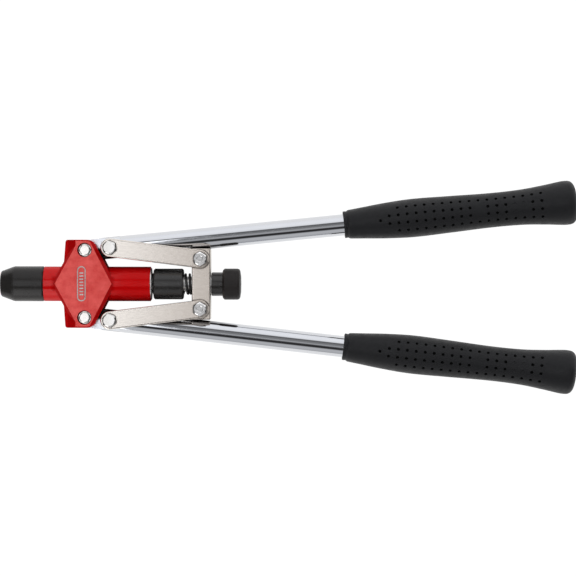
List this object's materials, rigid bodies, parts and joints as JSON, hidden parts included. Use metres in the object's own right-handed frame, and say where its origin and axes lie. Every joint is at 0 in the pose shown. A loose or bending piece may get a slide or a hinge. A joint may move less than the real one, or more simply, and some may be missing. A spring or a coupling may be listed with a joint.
{
  "type": "hand riveter",
  "caption": "Long-arm two-hand lever riveter for threaded inserts: twin levers and links pull a draw rod through a red head, with a black nose and a spin knob.",
  "frame": {"origin": "where the tool axis meets the front face of the nose, at the mouth of the anvil thread", "axes": "+X from the nose along the tool axis to the handles, +Z out of the face with the bolt heads, +Y towards the upper lever; the levers are closed at rest"},
  "size_m": [0.4604, 0.1708, 0.0359],
  "materials": {
    "red_enamel": "gloss enamel over a fine cast texture",
    "black_steel": "black oxide, satin, machined",
    "black_oxide": "dull brownish black oxide",
    "bright_steel": "ground bright steel",
    "bolt_zinc": "bright zinc plated",
    "nickel": "satin nickel plate",
    "chrome": "polished chrome tube",
    "satin_chrome": "satin chrome over a forging",
    "grip_rubber": "moulded satin black with recessed dots",
    "bronze": "sintered bronze",
    "spring_steel": "oil-tempered black wire"
  },
  "bodies": {
    "head": {"head_casting": "red_enamel", "nose_sleeve": "black_steel", "front_guide_bush": "bronze", "rear_guide_bush": "bright_steel", "head_pivot_bolts": "bolt_zinc", "head_pivot_nuts": "bolt_zinc", "head_pivot_washers": "bolt_zinc", "return_spring": "spring_steel"},
    "upper_lever": {"upper_lever_end": "satin_chrome", "upper_pivot_bush": "bronze", "upper_lever_tube": "chrome", "upper_grip": "grip_rubber", "upper_link_bolt": "bolt_zinc", "upper_link_nut": "bolt_zinc"},
    "lower_lever": {"lower_lever_end": "satin_chrome", "lower_pivot_bush": "bronze", "lower_lever_tube": "chrome", "lower_grip": "grip_rubber", "lower_link_bolt": "bolt_zinc", "lower_link_nut": "bolt_zinc"},
    "upper_links": {"upper_front_link": "nickel", "upper_back_link": "nickel"},
    "lower_links": {"lower_front_link": "nickel", "lower_back_link": "nickel"},
    "yoke": {"yoke_block": "nickel", "draw_rod": "bright_steel", "yoke_bolts": "bolt_zinc", "yoke_nuts": "bolt_zinc"},
    "spindle": {"mandrel_socket": "black_steel", "spindle_shaft": "bright_steel", "thrust_washer": "bright_steel", "knob_neck": "black_steel", "spin_knob": "black_oxide", "knob_grub_screw": "black_steel"},
    "stop_sleeve": {"stop_sleeve": "black_steel"}
  },
  "joints": [
    {"name": "upper_lever_pivot", "type": "hinge", "parent": "head", "child": "upper_lever", "pos_m": [0.0683, 0.0268, 0], "axis": [0, 0, 1], "range_deg": [0, 38], "stiffness_Nm_per_rad": 0.25, "springref_deg": -11.46},
    {"name": "lower_lever_pivot", "type": "hinge", "parent": "head", "child": "lower_lever", "pos_m": [0.0683, -0.0268, 0], "axis": [0, 0, 1], "range_deg": [-38.2, 0.2]},
    {"name": "upper_link_pivot", "type": "hinge", "parent": "upper_lever", "child": "upper_links", "pos_m": [0.088, 0.02879, 0], "axis": [0, 0, 1], "range_deg": [-47.85, 0.2]},
    {"name": "lower_link_pivot", "type": "hinge", "parent": "lower_lever", "child": "lower_links", "pos_m": [0.08798, -0.029, 0], "axis": [0, 0, 1], "range_deg": [-0.2, 47.85]},
    {"name": "yoke_slide", "type": "slide", "parent": "head", "child": "yoke", "axis": [1, 0, 0], "range_m": [-0.00717, 0.00002], "deforming": ["return_spring"]},
    {"name": "stop_sleeve_slide", "type": "slide", "parent": "head", "child": "stop_sleeve", "axis": [1, 0, 0], "range_m": [-0.00141, 0.00002]},
    {"name": "spindle_spin", "type": "hinge", "parent": "yoke", "child": "spindle", "pos_m": [0.17, 0, 0], "axis": [1, 0, 0], "continuous": true}
  ],
  "couplings": [
    {"joint": "lower_lever_pivot", "follows": "upper_lever_pivot", "ratio": -1},
    {"joint": "upper_link_pivot", "follows": "upper_lever_pivot", "ratio": -1.254},
    {"joint": "lower_link_pivot", "follows": "upper_lever_pivot", "ratio": 1.254},
    {"joint": "yoke_slide", "follows": "upper_lever_pivot", "m_per_rad": -0.01078},
    {"joint": "stop_sleeve_slide", "follows": "upper_lever_pivot", "m_per_rad": -0.0021}
  ]
}
